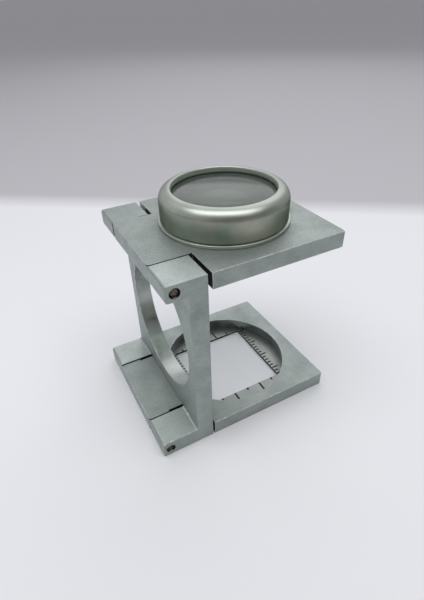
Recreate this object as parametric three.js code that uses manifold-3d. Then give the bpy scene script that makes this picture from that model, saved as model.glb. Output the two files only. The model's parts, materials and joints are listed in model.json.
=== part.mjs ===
/*
 * Folding linen tester (thread counter): a two-element loupe on three hinged metal plates.
 *
 * Millimetres, +Z up. The origin is the centre of the base's underside. X runs along the long
 * side, from the hinge end (-X) to the free end (+X), and both hinge axes run along Y.
 *
 * Opened for use, the plates make a "[": base at the bottom, upright at the hinge end, lens
 * plate on top. The lens plate turns up and over until it hangs against the outside of the
 * upright, where its bezel sits in the upright's window, and the base then closes over it.
 */
import * as THREE from 'three';
import { mergeVertices } from 'three/addons/utils/BufferGeometryUtils.js';
import Module from 'manifold-3d';

const wasm = await Module();
wasm.setup();

/* ---------- driving dimensions ---------- */

const WIDTH = 31.2;                  // across the plates, along the hinge pins
const BASE_LENGTH = 38.6;
const LENS_PLATE_TOP = 38.6;         // height of the lens plate's upper face
const BASE_THICKNESS = 3.3;
const LENS_PLATE_THICKNESS = 3.1;
const UPRIGHT_THICKNESS = 3.35;
const UPRIGHT_INSET = 7.5;           // base's hinge end to the upright's outer face
const LENS_PLATE_END = 18.65;        // x of the lens plate's free end
const AXIS_X = 3.2;                  // optical axis: lens, scale window and base bore
const PLATE_CORNER = 0.45;           // rounding of the plates' free corners
const EDGE_ROUND = 0.5;              // rounding of the hinge ends

const TONGUE_WIDTH = 17.8;           // middle part of each hinge, between the two lugs
const LUG_HEIGHT_BASE = 3.6;
const LUG_REACH_TOP = 3.85;          // top lugs, from the upright's outer face
const SIDE_GAP = 0.1;                // tongue to lug, beside the pin
const SLOT_GAP_BASE = 0.45;          // tongue to lug, beside the upright
const SLOT_GAP_TOP = 0.14;
const SLOT_LENGTH_BASE = 6.7;
const SLOT_LENGTH_TOP = 2.6;
const BASE_NOTCH_GAP = 0.4;          // base shoulder to the upright's inner face
const TOP_NOTCH_GAP = 0.75;          // lens plate shoulder to the upright's inner face
const REST_GAP = 0.06;               // upright to the tongues it rests on and carries
const FOOT_ROUND = 0.35;             // upright's lower inner corner, which sweeps past the base
const LUG_FILLET = 0.4;              // where a lug meets the upright
const TONGUE_SETBACK = 0.1;          // lens tongue's end, behind the ends of its lugs
const WEB_OVERLAP = 0.5;             // web into the side frames it is one piece with

const PIN_RADIUS = 0.75;
const PIN_HOLE_RADIUS = 0.83;
const PIN_MOUTH_RADIUS = 0.9;        // recess around each pin's outer end
const PIN_MOUTH_DEPTH = 0.35;
const PIN_SUNK = 0.3;
const PIN_IN_TONGUE = 4.2;           // depth of the blind holes, from the lug's inner face
const PIN_END_PLAY = 0.3;            // pin to the bottom of its blind hole
const PIN_END_CHAMFER = 0.15;
const PIN_INSET = 1.6;               // pin axis to the hinge end of the lugs
const WASHER_OUTER = 1.15;
const WASHER_THICKNESS = 0.26;
const WASHER_SUNK = 0.04;            // washer below the tongue's side
const WASHER_SEAT_RADIUS = 1.25;
const WASHER_SEAT_DEPTH = 0.36;

const WINDOW_RADIUS = 13.35;         // round openings of the upright and the base
const SCALE_RADIUS = 14.0;
const SCALE_THICKNESS = 0.6;
const SCALE_RECESS = 0.65;
const SCALE_WINDOW = 18.0;           // side of the square counting window

const FLANGE_RADIUS = 12.25;
const FLANGE_HEIGHT = 0.65;
const FLANGE_CHAMFER = 0.12;
const BARREL_RADIUS = 11.0;
const BARREL_BORE = 10.3;
const BARREL_TOP = 5.1;              // above the lens plate
const THREAD_DEPTH = 0.3;
const THREAD_PITCH = 1.1;
const THREAD_START = 0.5;            // plain neck above the flange
const THREAD_RUNOUT = 0.2;           // plain neck below the barrel's top
const BARREL_SEAT_RADIUS = 9.4;      // lower lip that carries the lenses
const BARREL_SEAT_TOP = -0.7;        // below the lens plate's upper face
const BARREL_SEAT_THICKNESS = 0.8;
const BARREL_FIT = 0.05;             // radial clearance of turned parts in their seats
const FACE_GAP = 0.02;               // between faces that are clamped together
const LOCK_RING_RADIUS = 12.6;
const LOCK_RING_HEIGHT = 1.1;
const LOCK_SLOT_WIDTH = 1.2;
const LOCK_SLOT_DEPTH = 0.5;
const LOCK_RING_CHAMFER = 0.15;

const BEZEL_RADIUS = 11.85;
const BEZEL_TOP = 6.35;              // above the lens plate
const BEZEL_BOTTOM_GAP = 0.12;
const BEZEL_BORE = 11.1;
const BEZEL_SHOULDER = 2.05;         // rolled outer edge
const BEZEL_OPENING = 9.55;
const BEZEL_LIP = 0.95;              // thickness of the lip over the glass
const BEZEL_LIP_ROUND = 0.2;
const BEZEL_CHAMFER = 0.1;           // at the foot of its wall

const LENS_RADIUS = 10.2;
const LENS_CURVATURE = 81;
const LENS_EDGE = 1.4;
const GASKET_THICKNESS = 0.16;
const GASKET_INNER = 9.65;
const STACK_GAP = 0.04;              // between flat neighbours in the lens stack
const DOME_GAP = 0.12;               // between a lens edge and the ring that bears on its dome
const SPACER_INNER = 9.6;

const CUT_MARGIN = 1;                // how far a cut runs past what it cuts
const MERGE_DISTANCE = 1e-5;

const ROUND_STEPS = 60;
const PIN_STEPS = 16;
const ARC_STEPS = 3;
const SHOULDER_STEPS = 6;
const LENS_RINGS = 3;

/* ---------- derived places ---------- */

const halfWidth = WIDTH / 2;
const hingeEnd = -BASE_LENGTH / 2;
const freeEnd = BASE_LENGTH / 2;
const uprightOuter = hingeEnd + UPRIGHT_INSET;
const uprightInner = uprightOuter + UPRIGHT_THICKNESS;
const topLugEnd = uprightOuter - LUG_REACH_TOP;
const lensPlateBottom = LENS_PLATE_TOP - LENS_PLATE_THICKNESS;
const lugInner = TONGUE_WIDTH / 2;
const basePin = { x: hingeEnd + PIN_INSET, z: BASE_THICKNESS / 2 };
const lensPin = { x: topLugEnd + PIN_INSET, z: LENS_PLATE_TOP - LENS_PLATE_THICKNESS / 2 };
// Folded, the bezel has to land in the upright's window, as far below its pin as it is beside it.
const windowHeight = lensPin.z - (AXIS_X - lensPin.x);

/* ---------- colours ---------- */

function finish(color, roughness, metalness) {
  return new THREE.MeshStandardMaterial({ color, roughness, metalness });
}

const satinMetal = finish(0x9aa29f, 0.42, 0.9);
const turnedMetal = finish(0x8b918b, 0.3, 0.95);
const pinSteel = finish(0x5f564c, 0.45, 0.9);
const springSteel = finish(0x70726f, 0.35, 0.95);
const blackRubber = finish(0x151716, 0.8, 0.0);
const blackened = finish(0x1c1e1e, 0.6, 0.6);
const opticalGlass = finish(0xb9c0bf, 0.05, 0.0);

/* ---------- geometry helpers ---------- */

/** A closed polygon as a shape; each corner is [x, y, radius], the radius being optional. */
function outline(corners) {
  const shape = new THREE.Shape();
  corners.forEach(([x, y, radius = 0], i) => {
    const corner = new THREE.Vector2(x, y);
    const before = new THREE.Vector2(...corners[(i + corners.length - 1) % corners.length]);
    const after = new THREE.Vector2(...corners[(i + 1) % corners.length]);
    const inward = before.sub(corner).normalize();
    const onward = after.sub(corner).normalize();
    const halfAngle = Math.acos(inward.dot(onward)) / 2;
    const reach = radius / Math.tan(halfAngle);
    const bisector = inward.clone().add(onward).normalize();
    const centre = bisector.multiplyScalar(radius / Math.sin(halfAngle)).add(corner);
    const first = corner.clone().addScaledVector(inward, reach);
    const last = corner.clone().addScaledVector(onward, reach);
    const start = radius > 0 ? first.clone().sub(centre).angle() : 0;
    let sweep = radius > 0 ? last.clone().sub(centre).angle() - start : 0;
    sweep -= Math.round(sweep / (2 * Math.PI)) * 2 * Math.PI;
    const steps = radius > 0 ? ARC_STEPS : 0;
    for (let step = 0; step <= steps; step += 1) {
      const angle = start + (steps > 0 ? sweep * step / steps : 0);
      const px = centre.x + radius * Math.cos(angle);
      const py = centre.y + radius * Math.sin(angle);
      if (i === 0 && step === 0) {
        shape.moveTo(px, py);
      } else {
        shape.lineTo(px, py);
      }
    }
  });
  return shape;
}

/** An outline in the XY plane, extruded from one height to another. */
function slab(corners, low, high) {
  const extent = { depth: high - low, bevelEnabled: false };
  const geometry = new THREE.ExtrudeGeometry(outline(corners), extent);
  return geometry.translate(0, 0, low);
}

/** An outline in the XZ plane, extruded from one y to another. */
function sideProfile(corners, low, high) {
  const extent = { depth: high - low, bevelEnabled: false };
  const geometry = new THREE.ExtrudeGeometry(outline(corners), extent);
  return geometry.rotateX(Math.PI / 2).translate(0, high, 0);
}

function box(low, high) {
  const size = high.map((value, axis) => value - low[axis]);
  const middle = high.map((value, axis) => (value + low[axis]) / 2);
  return new THREE.BoxGeometry(...size).translate(...middle);
}

function discAlongZ(radius, low, high, x = AXIS_X) {
  const geometry = new THREE.CylinderGeometry(radius, radius, high - low, ROUND_STEPS);
  return geometry.rotateX(Math.PI / 2).translate(x, 0, (low + high) / 2);
}

function discAlongY(radius, low, high, { x, z }) {
  const geometry = new THREE.CylinderGeometry(radius, radius, high - low, PIN_STEPS);
  return geometry.translate(x, (low + high) / 2, z);
}

/** A profile of [radius, height] points turned about the optical axis; it closes on itself. */
function turned(points) {
  const profile = [...points, points[0]].map(([radius, height]) => new THREE.Vector2(radius, height));
  const geometry = new THREE.LatheGeometry(profile, ROUND_STEPS);
  return geometry.rotateX(Math.PI / 2).translate(AXIS_X, 0, 0);
}

function solid(geometry) {
  const bare = geometry.clone();
  bare.deleteAttribute('normal');
  bare.deleteAttribute('uv');
  const merged = mergeVertices(bare, MERGE_DISTANCE);
  return new wasm.Manifold(new wasm.Mesh({
    numProp: 3,
    vertProperties: new Float32Array(merged.attributes.position.array),
    triVerts: new Uint32Array(merged.index.array),
  }));
}

/** The joined pieces, with the cuts taken out. */
function machined(pieces, cuts) {
  let result = solid(pieces[0]);
  for (const piece of pieces.slice(1)) {
    result = result.add(solid(piece));
  }
  for (const cut of cuts) {
    result = result.subtract(solid(cut));
  }
  const mesh = result.getMesh();
  const geometry = new THREE.BufferGeometry();
  const positions = new Float32Array(mesh.vertProperties);
  geometry.setAttribute('position', new THREE.BufferAttribute(positions, 3));
  geometry.setIndex(new THREE.BufferAttribute(new Uint32Array(mesh.triVerts), 1));
  geometry.computeVertexNormals();
  return geometry;
}

/** Runs a function for the front (-Y) and rear (+Y) side and gathers what it returns. */
function bothSides(make) {
  return [-1, 1].flatMap((side) => make(side));
}

/** Orders two y values given for the +Y side, mirrored where the side is -1. */
function sideSpan(side, inner, outer) {
  return side > 0 ? [inner, outer] : [-outer, -inner];
}

/* ---------- plates ---------- */

/**
 * A plate with a hinge tongue at its -X end and square shoulders beside it. The tongue is
 * narrower where it passes the upright, which leaves a slot beside each lug.
 */
function plateOutline(tongueEnd, shoulder, freeX, slot, hingeRound) {
  const wide = lugInner - SIDE_GAP;
  const narrow = lugInner - slot.gap;
  const slotStart = shoulder - slot.length;
  const upper = [
    [freeX, halfWidth, PLATE_CORNER],
    [shoulder, halfWidth, 0],
    [shoulder, narrow, 0],
    [slotStart, narrow, 0],
    [slotStart, wide, 0],
    [tongueEnd, wide, hingeRound],
  ];
  const lower = upper.map(([x, y, radius]) => [x, -y, radius]).reverse();
  return [...upper, ...lower];
}

/** Blind pin holes and washer seats in both sides of a tongue. */
function tongueBores(pin) {
  return bothSides((side) => {
    const face = lugInner - SIDE_GAP;
    const hole = sideSpan(side, lugInner - PIN_IN_TONGUE, halfWidth);
    const seat = sideSpan(side, face - WASHER_SEAT_DEPTH, halfWidth);
    return [
      discAlongY(PIN_HOLE_RADIUS, ...hole, pin),
      discAlongY(WASHER_SEAT_RADIUS, ...seat, pin),
    ];
  });
}

function basePlate() {
  const shoulder = uprightInner + BASE_NOTCH_GAP;
  const slot = { gap: SLOT_GAP_BASE, length: SLOT_LENGTH_BASE };
  const corners = plateOutline(hingeEnd, shoulder, freeEnd, slot, EDGE_ROUND);
  return machined([slab(corners, 0, BASE_THICKNESS)], [
    discAlongZ(WINDOW_RADIUS, SCALE_RECESS / 2, BASE_THICKNESS + CUT_MARGIN),
    discAlongZ(SCALE_RADIUS + BARREL_FIT, -CUT_MARGIN, SCALE_RECESS),
    ...tongueBores(basePin),
  ]);
}

function scalePlate() {
  const half = SCALE_WINDOW / 2;
  const cut = box([AXIS_X - half, -half, -CUT_MARGIN], [AXIS_X + half, half, CUT_MARGIN]);
  return machined([discAlongZ(SCALE_RADIUS, 0, SCALE_THICKNESS)], [cut]);
}

function lensPlate() {
  const shoulder = uprightInner + TOP_NOTCH_GAP;
  const tongueEnd = topLugEnd + TONGUE_SETBACK;
  const slot = { gap: SLOT_GAP_TOP, length: SLOT_LENGTH_TOP };
  const corners = plateOutline(tongueEnd, shoulder, LENS_PLATE_END, slot, EDGE_ROUND);
  const ringSeat = lensPlateBottom + LOCK_RING_HEIGHT + BARREL_FIT;
  return machined([slab(corners, lensPlateBottom, LENS_PLATE_TOP)], [
    discAlongZ(BARREL_RADIUS + BARREL_FIT, lensPlateBottom - CUT_MARGIN, LENS_PLATE_TOP + CUT_MARGIN),
    discAlongZ(LOCK_RING_RADIUS + BARREL_FIT, lensPlateBottom - CUT_MARGIN, ringSeat),
    ...tongueBores(lensPin),
  ]);
}

/** Two "]" side frames with their lugs, and the web between them, with its round window. */
function uprightFrame() {
  const frame = [
    [hingeEnd, 0, EDGE_ROUND],
    [uprightInner, 0, FOOT_ROUND],
    [uprightInner, LENS_PLATE_TOP, 0],
    [topLugEnd, LENS_PLATE_TOP, EDGE_ROUND],
    [topLugEnd, lensPlateBottom, EDGE_ROUND],
    [uprightOuter, lensPlateBottom, LUG_FILLET],
    [uprightOuter, LUG_HEIGHT_BASE, LUG_FILLET],
    [hingeEnd, LUG_HEIGHT_BASE, EDGE_ROUND],
  ];
  const sides = bothSides((side) => sideProfile(frame, ...sideSpan(side, lugInner, halfWidth)));
  const webLow = BASE_THICKNESS + REST_GAP;
  const webHigh = lensPlateBottom - REST_GAP;
  const web = box(
    [uprightOuter, -lugInner - WEB_OVERLAP, webLow],
    [uprightInner, lugInner + WEB_OVERLAP, webHigh],
  );
  const cutLength = UPRIGHT_THICKNESS + 2 * CUT_MARGIN;
  const window = new THREE.CylinderGeometry(WINDOW_RADIUS, WINDOW_RADIUS, cutLength, ROUND_STEPS);
  window.rotateZ(Math.PI / 2).translate((uprightOuter + uprightInner) / 2, 0, windowHeight);
  const outside = halfWidth + CUT_MARGIN;
  const pinHoles = bothSides((side) => [basePin, lensPin].flatMap((pin) => [
    discAlongY(PIN_HOLE_RADIUS, ...sideSpan(side, lugInner - CUT_MARGIN, outside), pin),
    discAlongY(PIN_MOUTH_RADIUS, ...sideSpan(side, halfWidth - PIN_MOUTH_DEPTH, outside), pin),
  ]));
  return machined([...sides, web], [window, ...pinHoles]);
}

/* ---------- hinges ---------- */

/** A round pin along Y with a chamfer at both ends. */
function hingePin(side, { x, z }) {
  const deepest = lugInner - PIN_IN_TONGUE + PIN_END_PLAY;
  const [low, high] = sideSpan(side, deepest, halfWidth - PIN_SUNK);
  const tip = PIN_RADIUS - PIN_END_CHAMFER;
  const profile = [
    [0, low],
    [tip, low],
    [PIN_RADIUS, low + PIN_END_CHAMFER],
    [PIN_RADIUS, high - PIN_END_CHAMFER],
    [tip, high],
    [0, high],
  ].map(([radius, y]) => new THREE.Vector2(radius, y));
  return new THREE.LatheGeometry(profile, PIN_STEPS).translate(x, 0, z);
}

/** A spring washer in its seat, between the tongue and the lug. */
function springWasher(side, { x, z }) {
  const face = lugInner - SIDE_GAP - WASHER_SUNK;
  const [low, high] = sideSpan(side, face - WASHER_THICKNESS, face);
  const profile = [
    [PIN_HOLE_RADIUS, low],
    [WASHER_OUTER, low],
    [WASHER_OUTER, high],
    [PIN_HOLE_RADIUS, high],
    [PIN_HOLE_RADIUS, low],
  ].map(([radius, y]) => new THREE.Vector2(radius, y));
  return new THREE.LatheGeometry(profile, PIN_STEPS).translate(x, 0, z);
}

/* ---------- lens cell ---------- */

const abovePlate = (height) => LENS_PLATE_TOP + height;

const gasketTop = BEZEL_TOP - BEZEL_LIP - STACK_GAP;
const eyeLensTop = gasketTop - GASKET_THICKNESS - DOME_GAP;
const eyeLensBottom = eyeLensTop - LENS_EDGE;
const seatGasketTop = BARREL_SEAT_TOP + STACK_GAP + GASKET_THICKNESS;
const fieldLensBottom = seatGasketTop + DOME_GAP;
const fieldLensTop = fieldLensBottom + LENS_EDGE;

/** Barrel: spigot through the plate, flange on it, threaded neck above, lens seat inside. */
function lensBarrel() {
  const spigotEnd = abovePlate(BARREL_FIT - LENS_PLATE_THICKNESS);
  const outside = [
    [BARREL_RADIUS, spigotEnd],
    [BARREL_RADIUS, abovePlate(FACE_GAP)],
    [FLANGE_RADIUS, abovePlate(FACE_GAP)],
    [FLANGE_RADIUS, abovePlate(FLANGE_HEIGHT - FLANGE_CHAMFER)],
    [FLANGE_RADIUS - FLANGE_CHAMFER, abovePlate(FLANGE_HEIGHT)],
    [BARREL_RADIUS - THREAD_DEPTH, abovePlate(FLANGE_HEIGHT)],
  ];
  const threadEnd = BARREL_TOP - THREAD_RUNOUT;
  for (let z = FLANGE_HEIGHT + THREAD_START; z + THREAD_PITCH <= threadEnd; z += THREAD_PITCH) {
    outside.push([BARREL_RADIUS - THREAD_DEPTH, abovePlate(z)]);
    outside.push([BARREL_RADIUS, abovePlate(z + THREAD_PITCH / 2)]);
  }
  outside.push([BARREL_RADIUS - THREAD_DEPTH, abovePlate(threadEnd)]);
  const inside = [
    [BARREL_RADIUS - THREAD_DEPTH, abovePlate(BARREL_TOP)],
    [BARREL_BORE, abovePlate(BARREL_TOP)],
    [BARREL_BORE, abovePlate(BARREL_SEAT_TOP)],
    [BARREL_SEAT_RADIUS, abovePlate(BARREL_SEAT_TOP)],
    [BARREL_SEAT_RADIUS, abovePlate(BARREL_SEAT_TOP - BARREL_SEAT_THICKNESS)],
    [BARREL_BORE, spigotEnd],
  ];
  return turned([...outside, ...inside]);
}

/** Ring nut that clamps the barrel to the plate from below, with two spanner slots. */
function barrelLockRing() {
  const low = lensPlateBottom + FACE_GAP;
  const high = lensPlateBottom + LOCK_RING_HEIGHT;
  const inner = BARREL_RADIUS + BARREL_FIT;
  const ring = turned([
    [inner, low],
    [LOCK_RING_RADIUS - LOCK_RING_CHAMFER, low],
    [LOCK_RING_RADIUS, low + LOCK_RING_CHAMFER],
    [LOCK_RING_RADIUS, high],
    [inner, high],
  ]);
  const slots = bothSides((side) => {
    const [near, far] = sideSpan(side, inner - CUT_MARGIN, LOCK_RING_RADIUS + CUT_MARGIN);
    return box(
      [AXIS_X - LOCK_SLOT_WIDTH / 2, near, low - CUT_MARGIN],
      [AXIS_X + LOCK_SLOT_WIDTH / 2, far, low + LOCK_SLOT_DEPTH],
    );
  });
  return machined([ring], slots);
}

/** Cap with a rolled outer shoulder and a lip that holds the glass. */
function lensBezel() {
  const bottom = abovePlate(FLANGE_HEIGHT + BEZEL_BOTTOM_GAP);
  const top = abovePlate(BEZEL_TOP);
  const shoulder = [];
  for (let step = 0; step <= SHOULDER_STEPS; step += 1) {
    const angle = (Math.PI / 2) * (step / SHOULDER_STEPS);
    shoulder.push([
      BEZEL_RADIUS - BEZEL_SHOULDER * (1 - Math.cos(angle)),
      top - BEZEL_SHOULDER * (1 - Math.sin(angle)),
    ]);
  }
  const lip = [];
  for (let step = 0; step <= ARC_STEPS; step += 1) {
    const angle = (Math.PI / 2) * (step / ARC_STEPS);
    lip.push([
      BEZEL_OPENING + BEZEL_LIP_ROUND * (1 - Math.sin(angle)),
      top - BEZEL_LIP_ROUND * (1 - Math.cos(angle)),
    ]);
  }
  return turned([
    [BEZEL_BORE, bottom],
    [BEZEL_RADIUS - BEZEL_CHAMFER, bottom],
    [BEZEL_RADIUS, bottom + BEZEL_CHAMFER],
    ...shoulder,
    ...lip,
    [BEZEL_OPENING, top - BEZEL_LIP],
    [BEZEL_BORE, top - BEZEL_LIP],
  ]);
}

function flatRing(inner, outer, low, high) {
  return turned([
    [inner, abovePlate(low)],
    [outer, abovePlate(low)],
    [outer, abovePlate(high)],
    [inner, abovePlate(high)],
  ]);
}

/** Biconvex lens with a ground edge between the given heights above the lens plate. */
function biconvexLens(low, high) {
  const sag = (radius) => LENS_CURVATURE - Math.sqrt(LENS_CURVATURE ** 2 - radius ** 2);
  const dome = sag(LENS_RADIUS);
  const lower = [];
  const upper = [];
  for (let ring = 0; ring <= LENS_RINGS; ring += 1) {
    const radius = LENS_RADIUS * (ring / LENS_RINGS);
    lower.push(new THREE.Vector2(radius, abovePlate(low - dome + sag(radius))));
    upper.unshift(new THREE.Vector2(radius, abovePlate(high + dome - sag(radius))));
  }
  const geometry = new THREE.LatheGeometry([...lower, ...upper], ROUND_STEPS);
  return geometry.rotateX(Math.PI / 2).translate(AXIS_X, 0, 0);
}

/* ---------- assembly ---------- */

const loupe = new THREE.Group();

function addPart(group, name, geometry, material) {
  const mesh = new THREE.Mesh(geometry, material.clone());
  mesh.name = name;
  group.add(mesh);
}

const base = new THREE.Group();
addPart(base, 'base_plate', basePlate(), satinMetal);
addPart(base, 'scale_plate', scalePlate(), satinMetal);

const upright = new THREE.Group();
addPart(upright, 'upright_frame', uprightFrame(), satinMetal);

const lensHolder = new THREE.Group();
addPart(lensHolder, 'lens_plate', lensPlate(), satinMetal);
addPart(lensHolder, 'lens_barrel', lensBarrel(), turnedMetal);
addPart(lensHolder, 'barrel_lock_ring', barrelLockRing(), blackened);
addPart(lensHolder, 'lens_bezel', lensBezel(), turnedMetal);
addPart(
  lensHolder,
  'bezel_gasket',
  flatRing(GASKET_INNER, BARREL_BORE - BARREL_FIT, gasketTop - GASKET_THICKNESS, gasketTop),
  blackRubber,
);
addPart(lensHolder, 'eye_lens', biconvexLens(eyeLensBottom, eyeLensTop), opticalGlass);
addPart(
  lensHolder,
  'lens_spacer',
  flatRing(SPACER_INNER, LENS_RADIUS, fieldLensTop + DOME_GAP, eyeLensBottom - DOME_GAP),
  blackened,
);
addPart(lensHolder, 'field_lens', biconvexLens(fieldLensBottom, fieldLensTop), opticalGlass);
addPart(
  lensHolder,
  'seat_gasket',
  flatRing(BARREL_SEAT_RADIUS, LENS_RADIUS, BARREL_SEAT_TOP + STACK_GAP, seatGasketTop),
  blackRubber,
);

for (const [side, place] of [[-1, 'front'], [1, 'rear']]) {
  addPart(upright, `base_hinge_pin_${place}`, hingePin(side, basePin), pinSteel);
  addPart(upright, `lens_hinge_pin_${place}`, hingePin(side, lensPin), pinSteel);
  addPart(base, `base_hinge_washer_${place}`, springWasher(side, basePin), springSteel);
  addPart(lensHolder, `lens_hinge_washer_${place}`, springWasher(side, lensPin), springSteel);
}

loupe.add(base, upright, lensHolder);

export default loupe;
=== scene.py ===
"""Looks of a folding linen tester: satin metal plates, a turned lens cell and a printed scale.

Lengths in the modelling code are millimetres. Each finished mesh is scaled to metres at the end,
in the frame of the CAD model, whose boxes give every place that they can give.
"""

import json
import math

import bmesh
import bpy
from mathutils import Matrix, Vector


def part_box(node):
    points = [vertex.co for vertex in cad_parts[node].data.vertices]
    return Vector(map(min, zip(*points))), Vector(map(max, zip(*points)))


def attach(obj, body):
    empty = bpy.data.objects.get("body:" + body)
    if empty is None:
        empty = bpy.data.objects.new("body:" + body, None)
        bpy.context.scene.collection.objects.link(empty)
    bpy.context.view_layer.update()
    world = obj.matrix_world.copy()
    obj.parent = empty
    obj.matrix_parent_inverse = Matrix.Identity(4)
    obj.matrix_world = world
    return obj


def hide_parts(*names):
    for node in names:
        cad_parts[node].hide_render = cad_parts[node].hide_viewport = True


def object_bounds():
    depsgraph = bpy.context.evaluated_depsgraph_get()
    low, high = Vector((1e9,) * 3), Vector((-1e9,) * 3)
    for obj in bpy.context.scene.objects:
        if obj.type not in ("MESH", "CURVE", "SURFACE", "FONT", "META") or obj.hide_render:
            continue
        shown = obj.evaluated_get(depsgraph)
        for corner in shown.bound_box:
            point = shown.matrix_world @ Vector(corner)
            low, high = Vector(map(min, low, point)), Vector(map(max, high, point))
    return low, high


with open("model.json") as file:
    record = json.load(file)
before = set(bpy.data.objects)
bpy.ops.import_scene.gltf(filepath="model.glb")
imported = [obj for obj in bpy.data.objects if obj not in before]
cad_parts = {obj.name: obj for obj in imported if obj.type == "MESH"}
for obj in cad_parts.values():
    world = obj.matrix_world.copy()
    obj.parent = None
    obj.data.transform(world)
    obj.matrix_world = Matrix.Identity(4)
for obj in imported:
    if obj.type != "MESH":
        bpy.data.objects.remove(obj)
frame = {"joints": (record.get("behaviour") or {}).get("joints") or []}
cad_low, cad_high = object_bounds()

METRES = 0.001               # in one millimetre


def box_mm(node):
    """Lowest and highest corner of a CAD node, in millimetres."""
    low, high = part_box(node)
    return low / METRES, high / METRES


# ---------- sizes that the boxes don't give ----------

TONGUE_HALF = 8.9            # half the distance between a hinge's two lugs
BASE_FRONT_GAP = 0.34        # tongue to lug, beside the pins; the slack has settled at the front
TOP_FRONT_GAP = 0.1
REAR_GAP = 0.02
SEAT_GAP = 0.1               # lug to the bottom edge of the washer seats
SLOT_GAP = 0.45              # tongue to lug, in the wider slots beside the upright
BASE_FRONT_SLOT_GAP = 0.7
TOP_SLOT_GAP = 0.14
BASE_SLOT = 6.7              # length of those slots, from the plate's shoulder
TOP_SLOT = 2.6
BASE_NOTCH = 0.4             # plate's shoulder to the upright's inner face
TOP_NOTCH = 0.75
WEB_GAP = 0.1                # upright's web to the tongues below and above it
UPRIGHT_INSET = 7.5          # base's hinge end to the upright's outer face
BASE_LUG_HEIGHT = 3.6
PLATE_CORNER = 0.45
HINGE_ROUND = 0.5
FOOT_ROUND = 0.35
LUG_FILLET = 0.4
WINDOW_RADIUS = 13.35        # round openings of the base and the upright
SCALE_RECESS = 0.65          # depth of the scale's seat in the base's underside
SCALE_SEAT_RADIUS = 14.05
BORE_START = 0.3             # where the base's bore begins, inside that seat
WINDOW_HALF = 9.0            # half the square counting window
BARREL_SEAT_RADIUS = 11.05   # lens plate's bore
RING_SEAT_RADIUS = 12.65     # lock ring's seat in the lens plate's underside
RING_SEAT_DEPTH = 1.15
PIN_HOLE_RADIUS = 0.83
PIN_HOLE_DEPTH = 4.2         # from the lug's inner face into the tongue
PIN_MOUTH_RADIUS = 0.9
PIN_MOUTH_DEPTH = 0.35
WASHER_SEAT_RADIUS = 1.25
WASHER_SEAT_DEPTH = 0.36
EDGE_ROUND = 0.11            # edges of the plates and the upright
SCALE_EDGE_ROUND = 0.04
LOCK_RING_EDGE_ROUND = 0.08
RING_ROUND = 0.03            # edges of the gaskets and the spacer
WASHER_ROUND = 0.05

# ---------- numbers of the mesh work ----------

ARC_STEPS = 8
BORE_STEPS = 192
PIN_STEPS = 48
MARGIN = 1.0                 # how far a cutter runs past what it cuts
MERGE_DISTANCE = 0.001
SHARP = math.radians(32)     # edges bent more than this are rounded
Y_AXIS = Vector((0, 1, 0))
Z_AXIS = Vector((0, 0, 1))
MIDPLANE = (Vector((0, 0, 0)), Y_AXIS)

# ---------- which faces get which material ----------

FACE, EDGE, PAINTED_SHADE, SHADED_BORE, LIT_BORE, LIT_TOP = range(6)     # slots of a plate's materials: the third is painted shade for gaps and hollows, the fourth a turned bore darkened with painted shade, the fifth a turned bore lightened with painted light, the sixth lug tops lightened with painted light
LIT_LIP, SHADED_CAP_WALL = 1, 2         # slots of the bezel's materials: the lip's wall lightened with painted light, the outer wall darkened with painted shade; it has no separate edges

FACING = 0.9                 # a normal's least share along the axis that its face looks along
TILTED = 0.1                 # a normal's least share along an axis that its face leans to
SEAM_REACH = 0.05            # how far from its exact place a wall is still found
BORE_REACH = 0.1
GAP_REACH = 2 * SLOT_GAP     # the tongues' walls lie at most this far inside the lugs
SHADED_WALL_EDGE = 12.3             # shoulder walls whose middle lies in front of this y get painted shade
SATIN_HEIGHT = BASE_LUG_HEIGHT + 1     # roundings beside the hinge gaps are satin above here
SATIN_REACH = 0.2            # and this far past the gap
SHADED_MOUTH = 0.6 * EDGE_ROUND          # inner part of a pin hole's rounding, with painted shade like the hole
RIM_WORN_FROM = -2.0         # the upright's window rim is rubbed bright behind this y
ACROSS = {"X": "yz", "Y": "xz", "Z": "xy"}             # the two axes square to an axis

# ---------- places from the frame ----------

base_low, base_high = box_mm("base_plate")
upright_low, upright_high = box_mm("upright_frame")
top_low, top_high = box_mm("lens_plate")
scale_low, scale_high = box_mm("scale_plate")
bezel_low, bezel_high = box_mm("lens_bezel")

axis_x = (bezel_low.x + bezel_high.x) / 2
half_width = base_high.y
upright_outer = upright_low.x + UPRIGHT_INSET
upright_inner = upright_high.x
joint_places = {joint["name"]: Vector(joint["pos_m"]) / METRES for joint in frame["joints"]}
base_pin = joint_places["base_hinge"]
lens_pin = joint_places["lens_hinge"]
lug_end_top = lens_pin.x - (base_pin.x - base_low.x)
window_height = lens_pin.z - (axis_x - lens_pin.x)     # where the folded plate puts its cap


# ---------- mesh helpers ----------

def add_object(name, bm):
    mesh = bpy.data.meshes.new(name)
    bm.to_mesh(mesh)
    bm.free()
    piece = bpy.data.objects.new(name, mesh)
    bpy.context.scene.collection.objects.link(piece)
    return piece


def rounded(corners):
    """Points of a closed outline; each corner is (u, v) or (u, v, radius)."""
    points = []
    count = len(corners)
    for index, corner in enumerate(corners):
        here = Vector(corner[:2])
        radius = corner[2] if len(corner) > 2 else 0
        if radius == 0:
            points.append(here)
            continue
        back = (Vector(corners[index - 1][:2]) - here).normalized()
        ahead = (Vector(corners[(index + 1) % count][:2]) - here).normalized()
        half_angle = back.angle(ahead) / 2
        centre = here + (back + ahead).normalized() * radius / math.sin(half_angle)
        start = here + back * radius / math.tan(half_angle) - centre
        end = here + ahead * radius / math.tan(half_angle) - centre
        turn = start.angle_signed(end)
        for step in range(ARC_STEPS + 1):
            arm = start.copy()
            arm.rotate(Matrix.Rotation(-turn * step / ARC_STEPS, 2))
            points.append(centre + arm)
    return points


# How prism lays an outline (u, v) that is extruded along w.

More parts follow.
